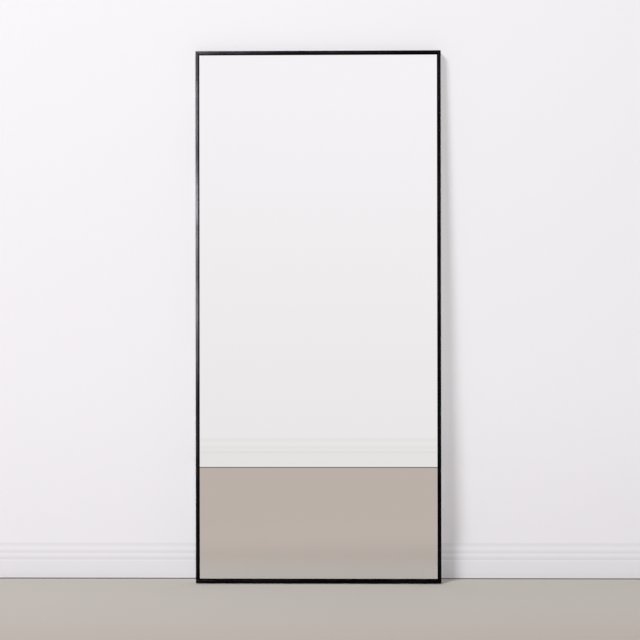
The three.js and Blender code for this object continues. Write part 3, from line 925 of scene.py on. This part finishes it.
class MIRROR_OT_braces(bpy.types.Operator):
    """Two brushed aluminium braces across the back"""
    bl_idname = "mirror.braces"
    bl_label = "Braces"

    def execute(self, context):
        for level in BRACE_HEIGHTS:
            refine("back_brace_" + level, context.scene.mirror_sizes.steel_edge, "mill_aluminium")
        return {"FINISHED"}


class MIRROR_OT_pan_head_screws(bpy.types.Operator):
    """Pan-head screws through the braces' ends and the hanger straps"""
    bl_idname = "mirror.pan_head_screws"
    bl_label = "Pan-head screws"

    radius = 2.0
    point = 0.6  # chamfer at the tip
    head_radius = 3.6
    head_height = 2.2
    head_foot = 0.15  # chamfer round the head's underside
    head_wall = 0.9  # height at which the head's crown starts
    crown_steps = 7
    sides = 32
    thread_stop = -0.5  # just under the head
    recess = (4.2, 0.85, 3.0)  # length, width and height of each cutter of the cross
    recess_depth = 1.2
    recess_taper = 0.5  # a cutter's width at its foot against its width above the head
    edge = 0.045

    def model(self, shank):
        """A screw along Z with the underside of its head at 0 and a cross recess in its crown."""
        tip = -shank + self.point
        profile = [(0, -shank), (self.radius - self.point, -shank), (self.radius, tip)]
        profile += thread(self.radius, tip, self.thread_stop)
        profile += [(self.radius, 0), (self.head_radius - self.head_foot, 0),
                    (self.head_radius, self.head_foot)]
        crown = self.head_height - self.head_wall
        for step in range(self.crown_steps):
            angle = step / self.crown_steps * math.pi / 2
            profile.append((self.head_radius * math.cos(angle), self.head_wall + crown * math.sin(angle)))
        screw = turn_round("pan_head_screw", profile + [(0, self.head_height)], self.sides)
        long, wide, high = self.recess
        for size in ((long, wide, high), (wide, long, high)):
            slot = add_box("slot", size, (0, 0, self.head_height - self.recess_depth + high / 2))
            start_edit(slot)
            select_where(slot, "VERT", lambda place: place.z < self.head_height * MM)
            bpy.ops.transform.resize(value=(self.recess_taper, self.recess_taper, 1),
                                     center_override=(0, 0, 0))
            end_edit()
            cut_with(screw, slot)
        ease_edges(screw, self.edge, segments=1, angle=60)
        return screw

    def fit(self, seat, spots):
        """A screw at each (x, height), its head on a seat and its tip just short of the back board."""
        places = {node: at(x, seat, height, -90, "X") for node, (x, height) in spots.items()}
        place_copies(self.model(seat - PIECE_FRONT - FIT_GAP), places, "zinc_steel")

    def execute(self, context):
        self.fit(CHANNEL_FLOOR + FIT_GAP, {
            f"brace_screw_{level}_{side}": (sign * (HALF_WIDTH - RAIL_FACE / 2), height)
            for level, height in BRACE_HEIGHTS.items() for side, sign in SIDES.items()})
        self.fit(PLATE_FRONT + PLATE_STEEL + FIT_GAP, {
            f"hanger_screw_{side}_{number + 1}": (sign * HANGER_X, BAR_HEIGHT - below)
            for side, sign in SIDES.items() for number, below in enumerate(PLATE_SCREWS_BELOW_BAR)})
        return {"FINISHED"}


class MIRROR_OT_hanger_straps(bpy.types.Operator):
    """Two hanger straps, each curled round its ring's bar"""
    bl_idname = "mirror.hanger_straps"
    bl_label = "Hanger straps"

    width = 14.0
    length = 40.0
    hole = 2.3
    hole_sides = 28
    drill = 4.0  # length of the holes' cutter
    curl_end = 200  # degrees past straight up
    steps = 26
    edge = 0.15

    def execute(self, context):
        side, middle = -self.width / 2, PLATE_STEEL / 2
        line = [(side, middle, -self.length), (side, middle, -self.length / 2)]
        for step in range(self.steps + 1):
            angle = math.radians(-90 + step / self.steps * (self.curl_end + 90))
            line.append((side, BAR_BEHIND_PLATE + CURL_RADIUS * math.sin(angle),
                         CURL_RADIUS * math.cos(angle)))
        strap = draw_line("strap", line)
        extrude(self.width, 0, 0)
        foot = (NEAR - self.length) * MM
        select_where(strap, "VERT", lambda place: place.z < foot)
        bpy.ops.mesh.bevel(offset=context.scene.mirror_sizes.strap_corner * MM, segments=6,
                           affect="VERTICES")
        face_outwards()
        add_modifier(strap, "SOLIDIFY", thickness=PLATE_STEEL * MM, offset=0.0, use_even_offset=True)
        for below in PLATE_SCREWS_BELOW_BAR:
            cut_with(strap, add_rod("hole", self.hole, self.drill, self.hole_sides, (0, middle, -below),
                                    turn=(math.pi / 2, 0, 0)))
        ease_edges(strap, self.edge, angle=50)
        places = {f"hanger_plate_{side}": at(sign * HANGER_X, PLATE_FRONT, BAR_HEIGHT)
                  for side, sign in SIDES.items()}
        place_copies(strap, places, "zinc_steel")
        return {"FINISHED"}


class MIRROR_OT_hanger_rings(bpy.types.Operator):
    """Two D-rings of round wire that hang plumb from their straps"""
    bl_idname = "mirror.hanger_rings"
    bl_label = "Hanger rings"

    wire = 1.5
    half_width = 11.5
    arm = 6.0
    corner = 3.0
    wire_sides = 20
    corner_steps = 8
    bow_steps = 32
    slack = 0.05  # the ring's lowest point may be this far from where the sizes put it

    def execute(self, context):
        bend = self.half_width - self.corner
        pick_none()
        bpy.ops.mesh.primitive_circle_add(vertices=self.wire_sides, radius=self.wire * MM,
                                          rotation=(0, math.pi / 2, 0), location=(0, 0, 0))
        ring = bpy.context.object
        keep_place()
        start_edit(ring)
        select_all()

        def bend_round(angle, x, z, steps):
            bpy.ops.mesh.spin(steps=steps, angle=math.radians(angle), center=in_metres((x, 0, z)),
                              axis=(0, -1, 0))

        extrude(bend, 0, 0)
        bend_round(90, bend, -self.corner, self.corner_steps)
        extrude(0, 0, self.corner - self.arm)
        bend_round(180, 0, -self.arm, self.bow_steps)
        extrude(0, 0, self.arm - self.corner)
        bend_round(90, -bend, -self.corner, self.corner_steps)
        extrude(bend, 0, 0)
        merge_doubles()
        face_outwards()
        low = min(corner.co.z for corner in ring.data.vertices) / MM
        if abs(low + self.arm + self.half_width + self.wire) > self.slack:
            raise RuntimeError(f"the ring's lowest point is at {low:.2f} mm")
        for side, sign in SIDES.items():
            bar = STANDING @ Vector(in_metres((sign * HANGER_X, BAR_DEPTH, BAR_HEIGHT)))
            piece = add_copy(ring, "hanger_ring_" + side, Matrix.Translation(bar), "zinc_steel",
                             body=side + "_ring", smooth=60)
            for mark in piece.data.attributes["edge"].data:
                mark.value = 0.0
        bpy.data.objects.remove(ring)
        return {"FINISHED"}


class MIRROR_OT_feet(bpy.types.Operator):
    """Two rubber feet under the bottom rail, with grooved soles"""
    bl_idname = "mirror.feet"
    bl_label = "Feet"

    grooves = (8.0, 11.5, 15.0, 18.5, 22.0)  # their depths behind the mirror's front
    groove_length = 54.0
    groove_width = 1.4
    edge_share = 0.6  # a foot's edge against a bumper's

    def execute(self, context):
        sizes = context.scene.mirror_sizes
        size = (self.groove_length, self.groove_width, 2 * sizes.tread_depth)
        for side, sign in SIDES.items():
            cut_grooves("foot_" + side, sizes.rubber_edge * self.edge_share, size, [
                (sign * (HALF_WIDTH - FOOT_INSET), depth, depth * math.tan(LEAN) - LIFT / math.cos(LEAN))
                for depth in self.grooves])
        return {"FINISHED"}


class MIRROR_OT_bumpers(bpy.types.Operator):
    """Four rubber wall bumpers with grooved faces"""
    bl_idname = "mirror.bumpers"
    bl_label = "Wall bumpers"

    face_depth = 33.4
    groove_length = 25.0
    groove_width = 0.9
    groove_step = 2.4

    def execute(self, context):
        sizes = context.scene.mirror_sizes
        size = (self.groove_length, 2 * sizes.tread_depth, self.groove_width)
        for end, height in (("top", HEIGHT - RAIL_FACE / 2), ("bottom", RAIL_FACE / 2)):
            for side, sign in SIDES.items():
                cut_grooves(f"wall_bumper_{end}_{side}", sizes.rubber_edge, size, [
                    (sign * (HALF_WIDTH - BUMPER_INSET), self.face_depth, height + number * self.groove_step)
                    for number in (-1, 0, 1)])
        return {"FINISHED"}


# ---------------------------------------------------------------- stage, lamps and camera

def add_sheet(name, corners, material, hidden_from=()):
    """A flat stage sheet through four corners, in metres, facing their anticlockwise side."""
    mesh = bpy.data.meshes.new(name)
    mesh.from_pydata(corners, [], [(0, 1, 2, 3)])
    mesh.materials.append(material)
    sheet = bpy.data.objects.new(name, mesh)
    bpy.context.scene.collection.objects.link(sheet)
    for rays in hidden_from:
        setattr(sheet, "visible_" + rays, False)


def add_lamp(name, place, aim, power, size, size_y=None):
    """A soft lamp at a place, turned to what it lights: a disk, or a rectangle if it has a second size."""
    data = bpy.data.lights.new(name, "AREA")
    data.energy = power
    data.shape = "RECTANGLE" if size_y else "DISK"
    data.size = size
    if size_y:
        data.size_y = size_y
    lamp = bpy.data.objects.new(name, data)
    lamp.location = place
    lamp.rotation_euler = (Vector(aim) - Vector(place)).to_track_quat("-Z", "Y").to_euler()
    bpy.context.scene.collection.objects.link(lamp)
    return lamp


class MIRROR_OT_stage(bpy.types.Operator):
    """Floor, the wall behind with its skirting, the far side of the room, lamps and camera"""
    bl_idname = "mirror.stage"
    bl_label = "Stage, lamps and camera"

    reach = 11.0
    far_wall = -8.05
    wall_height = 7.0
    skirting_depth = 0.015
    skirting_level = 0.93  # the boards' paint against the wall's
    glow_level = 1.12  # the wall's painted glow against its colour
    floor_shade_away = (0.9, 0.86, 0.84)  # painted shade: the floor's darker, warmer tone away from the wall against its tone beside it
    floor_shade_span = (-1.1, -0.25)  # from where to where, along Y, the floor takes the tone beside the wall
    far_floor = (0.543, 0.477, 0.435, 1)
    far_floor_ends = (-2.6, -0.7)  # from where to where, along Y, the far floor's tone gives way
    far_wall_painted_falloff = ((0.89, 0.867, 0.873, 1), (1.0, 0.975, 1.0, 1))  # painted shade: the far wall's glow at the floor, and at painted_falloff_top, darker at the floor as its light falls off
    painted_falloff_top = 3.1
    far_board = (0.86, 0.84, 0.826)
    aim = (0, 0, 0.9)
    key_place = (-5.57, -7.53, 9.33)
    front_place = (0.4, -7.4, 4.4)
    sheen_place = (-1.144, -4.5, 1.7)
    sheen_aim = (-0.41, 0, 1.1)
    sheen_size = (0.3, 1.5)
    sheen_tint = (0.95, 0.875, 1.0)
    lens_to_distance = 16.596  # millimetres of lens for each metre, so that the mirror keeps its size
    camera_x = 0.10
    camera_turns = (0.981, 90 - 1.98, -0.109)  # degrees: to the side, up from straight down, and roll
    # (height in millimetres, brightness) up each skirting board: painted light and shade of its moulding on
    # a flat sheet, with a painted shadow for the gap under it
    skirting = (
        (0, 0.16), (3, 0.16), (4, 0.955), (12, 0.965), (30, 1.0), (61, 1.02), (64.6, 1.105), (68.1, 0.93),
        (71.5, 0.96), (76, 1.015), (79, 1.03), (83.5, 1.095), (88.6, 1.04), (92, 0.965), (95.4, 1.0),
        (98.8, 1.04), (105.7, 1.105), (109.1, 1.09), (115.9, 1.03), (121, 1.015), (125, 1.045),
    )
    far_skirting = (
        (0, 0.24), (9, 0.24), (10, 1.04), (18, 1.02), (30, 0.99), (60, 1.0), (120, 1.0), (129, 0.94),
        (138, 0.99), (151, 1.02), (162, 1.0), (171, 0.985), (182, 1.01), (194, 1.045), (211, 1.03),
        (227, 1.01), (243, 1.0), (251, 1.03),
    )

    def seen_front(self, f, surface):
        """A wall that can be seen from its front only, so that views from behind look through it."""
        behind = f.node("NewGeometry", output="Backfacing")
        return f.finished(f.blend(behind, surface, f.node("BsdfTransparent")))

    def wall_with_painted_glow(self, f, colour, glow_colour):
        """White paint with a painted glow that stands in for the room's light on the wall, less of it
        towards the floor, so that shadows still darken it.
        """
        amount = 0.12 + f.sharpen(f.height(), -0.05, 0.75) * 0.2
        return self.seen_front(f, f.blend(amount, f.diffuse(colour), f.glow(glow_colour)))

    def add_floor(self, stage):
        f = Finish("pale_floor")
        along = f.part_of(f.places(), "Y")
        far = 1 - f.sharpen(along, *self.far_floor_ends)
        # painted shade: the floor is darkened and warmed away from the wall; worn holds that tone
        worn = tuple(part * level for part, level in zip(stage.floor, self.floor_shade_away)) + (1.0,)
        tone = f.mix(worn, shade(stage.floor), f.sharpen(along, *self.floor_shade_span))
        r = self.reach
        add_sheet("floor", [(-r, self.far_wall, 0), (r, self.far_wall, 0), (r, r, 0), (-r, r, 0)],
                  f.finished(f.blend(far, f.diffuse(tone), f.glow(self.far_floor))))

    def add_near_wall(self, stage):
        r, back = self.reach, WALL_DEPTH * MM
        paint, board = Finish("white_wall"), Finish("skirting_painted_light_and_shade")
        # painted light and shade: the skirting is a flat sheet, with its moulding's ledges and shadowed foot
        # painted into its colour
        moulded = board.moulded(shade(stage.wall, self.skirting_level), self.skirting)
        for name, y, top, material in (
            ("wall", back, self.wall_height,
             self.wall_with_painted_glow(paint, shade(stage.wall), shade(stage.wall, self.glow_level))),
            ("skirting", back - self.skirting_depth, self.skirting[-1][0] * MM,
             self.wall_with_painted_glow(board, moulded, moulded)),
        ):
            add_sheet(name, [(-r, y, 0), (r, y, 0), (r, y, top), (-r, y, top)], material,
                      ("diffuse", "glossy", "transmission", "shadow"))

    def add_far_wall(self, stage):
        r, y = self.reach, self.far_wall
        paint, board = Finish("far_wall"), Finish("far_skirting")
        # painted shade: the far wall glows, darker from painted_falloff_top down to the floor
        rise = paint.node("MapRange", {}, {
            "Value": paint.height(), "From Min": 0.0, "From Max": self.painted_falloff_top})
        for name, f, depth, high, colour in (
            ("far_wall", paint, y, self.wall_height, paint.mix(*self.far_wall_painted_falloff, rise)),
            # the far skirting's moulding and dark foot are painted light and shade as well
            ("far_skirting", board, y + self.skirting_depth, self.far_skirting[-1][0] * MM,
             board.moulded(self.far_board, self.far_skirting)),
        ):
            add_sheet(name, [(r, depth, 0), (-r, depth, 0), (-r, depth, high), (r, depth, high)],
                      f.finished(f.glow(colour)), ("diffuse", "shadow"))

    def light_room(self, stage):
        add_lamp("key_lamp", self.key_place, self.aim, stage.key_power, 4.2)
        add_lamp("front_lamp", self.front_place, self.aim, stage.front_power, 1.2)
        sheen = add_lamp("sheen_lamp", self.sheen_place, self.sheen_aim, stage.sheen_power,
                         *self.sheen_size)
        sheen.data.color = self.sheen_tint
        sheen.visible_diffuse = False
        glossed = bpy.data.collections.new("glossed_by_sheen_lamp")
        for side in FRAME_SIDES:
            glossed.objects.link(bpy.data.objects["finished_rail_" + side])
        sheen.light_linking.receiver_collection = glossed
        world = bpy.data.worlds.new("room_light")
        bpy.context.scene.world = world
        world.use_nodes = True
        f = Finish("room_light", world.node_tree)
        rays = [f.node("LightPath", output=name)
                for name in ("Is Camera Ray", "Is Glossy Ray", "Is Transmission Ray")]
        seen = f.node("Math", {"operation": "MINIMUM"}, {0: rays[0] + rays[1] + rays[2], 1: 1.0})
        way = f.node("TexCoord", output="Generated")
        behind = f.sharpen(f.part_of(way, "Y"), -0.35, 0.45)
        lifted = f.sharpen(f.part_of(way, "Z"), -0.1, 0.9)
        pale = f.node("Background", {}, {
            "Color": f.mix((0.86, 0.86, 0.865, 1), (0.95, 0.95, 0.96, 1), lifted), "Strength": 1.0})
        light = f.node("Background", {}, {
            "Color": (1.0, 0.995, 1.0, 1), "Strength": stage.room_light * (0.06 + behind)})
        f.node("OutputWorld", {}, {"Surface": f.blend(seen, light, pale)})

    def add_camera(self, stage):
        data = bpy.data.cameras.new("camera")
        data.lens = self.lens_to_distance * stage.camera_distance
        data.sensor_width = 36
        data.clip_end = 100
        camera = bpy.data.objects.new("camera", data)
        camera.location = (self.camera_x, -stage.camera_distance, stage.camera_height)
        aside, up, roll = (Matrix.Rotation(math.radians(angle), 4, axis)
                           for angle, axis in zip(self.camera_turns, "ZXZ"))
        camera.rotation_euler = (aside @ up @ roll).to_euler()
        bpy.context.scene.collection.objects.link(camera)
        bpy.context.scene.camera = camera

    def execute(self, context):
        stage = context.scene.mirror_stage
        context.scene.view_settings.view_transform = "Standard"
        self.add_floor(stage)
        self.add_near_wall(stage)
        self.add_far_wall(stage)
        self.light_room(stage)
        self.add_camera(stage)
        return {"FINISHED"}


# ---------------------------------------------------------------- panel and registration

PIECES = (
    MIRROR_OT_rails, MIRROR_OT_pane, MIRROR_OT_gaskets, MIRROR_OT_clips, MIRROR_OT_corner_keys,
    MIRROR_OT_set_screws, MIRROR_OT_braces, MIRROR_OT_pan_head_screws, MIRROR_OT_hanger_straps,
    MIRROR_OT_hanger_rings, MIRROR_OT_feet, MIRROR_OT_bumpers, MIRROR_OT_stage,
)


class MIRROR_PT_panel(bpy.types.Panel):
    """Lists the mirror's pieces, its stage, and the sizes and colours behind them"""
    bl_label = "Floor mirror"
    bl_idname = "MIRROR_PT_panel"
    bl_space_type = "VIEW_3D"
    bl_region_type = "UI"
    bl_category = "Floor mirror"

    def draw(self, context):
        for operator in PIECES:
            self.layout.operator(operator.bl_idname)
        for group in (context.scene.mirror_sizes, context.scene.mirror_colours, context.scene.mirror_stage):
            box = self.layout.box()
            for name in group.__annotations__:
                box.prop(group, name)


GROUPS = {"mirror_sizes": MirrorSizes, "mirror_colours": MirrorColours, "mirror_stage": MirrorStage}


def register():
    for group in GROUPS.values():
        bpy.utils.register_class(group)
    for name, group in GROUPS.items():
        setattr(bpy.types.Scene, name, PointerProperty(type=group))
    for operator in PIECES + (MIRROR_PT_panel,):
        bpy.utils.register_class(operator)


def unregister():
    for operator in reversed(PIECES + (MIRROR_PT_panel,)):
        bpy.utils.unregister_class(operator)
    for name, group in GROUPS.items():
        delattr(bpy.types.Scene, name)
        bpy.utils.unregister_class(group)


def main():
    """Makes every piece and the stage."""
    register()
    for operator in PIECES:
        group, name = operator.bl_idname.split(".")
        getattr(getattr(bpy.ops, group), name)()


if __name__ == "__main__":
    main()
